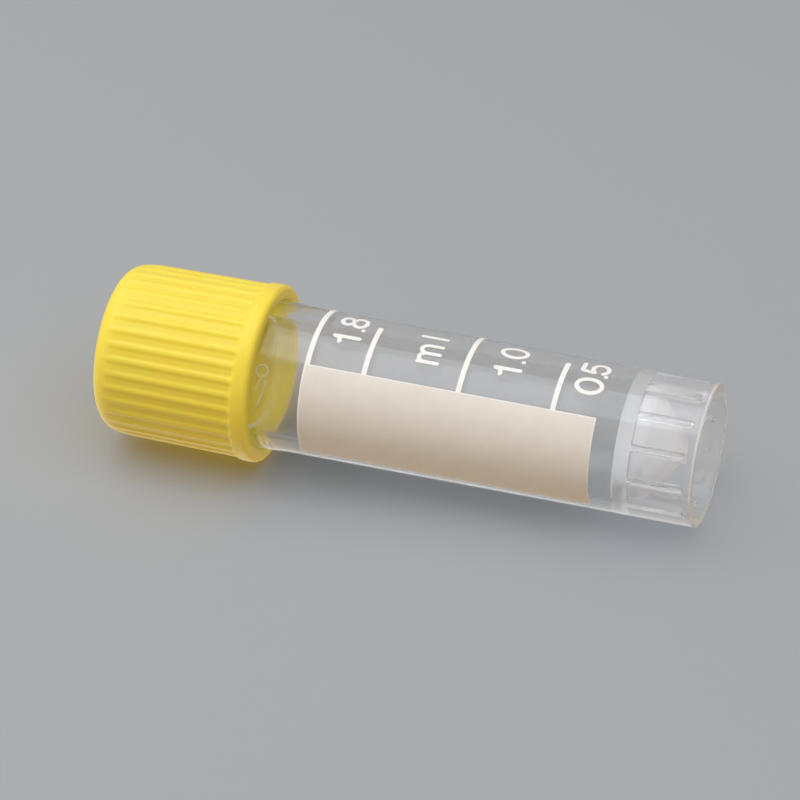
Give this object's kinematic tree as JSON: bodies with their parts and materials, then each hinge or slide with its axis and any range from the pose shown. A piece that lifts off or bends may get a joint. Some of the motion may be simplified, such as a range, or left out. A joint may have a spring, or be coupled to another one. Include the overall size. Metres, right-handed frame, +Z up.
{
  "type": "cryovial",
  "caption": "Self-standing cryogenic vial with a conical bottom, a ribbed foot, an external thread and a ribbed screw cap with a ring seal.",
  "frame": {"origin": "centre of the foot's rim, on the surface that the vial stands on", "axes": "+Z up the vial's axis from the foot to the cap; -Y towards the printed scale"},
  "size_m": [0.0142, 0.0142, 0.0483],
  "materials": {
    "tube": "natural polypropylene, moulded glossy, translucent",
    "seal": "white silicone, satin",
    "cap": "yellow polypropylene, moulded satin",
    "print": "white screen-printed ink, matt"
  },
  "bodies": {
    "vial": {"tube": "tube"},
    "seal": {"seal_ring": "seal"},
    "cap": {"screw_cap": "cap"}
  },
  "joints": [
    {"name": "cap_lift", "type": "slide", "parent": "vial", "child": "seal", "axis": [0, 0, 1], "range_m": [0, 0.013]},
    {"name": "cap_turn", "type": "hinge", "parent": "seal", "child": "cap", "pos_m": [0, 0, 0.0483], "axis": [0, 0, 1], "range_deg": [0, 1170]}
  ],
  "couplings": [
    {"joint": "cap_turn", "follows": "cap_lift", "rad_per_m": 1570.8}
  ]
}
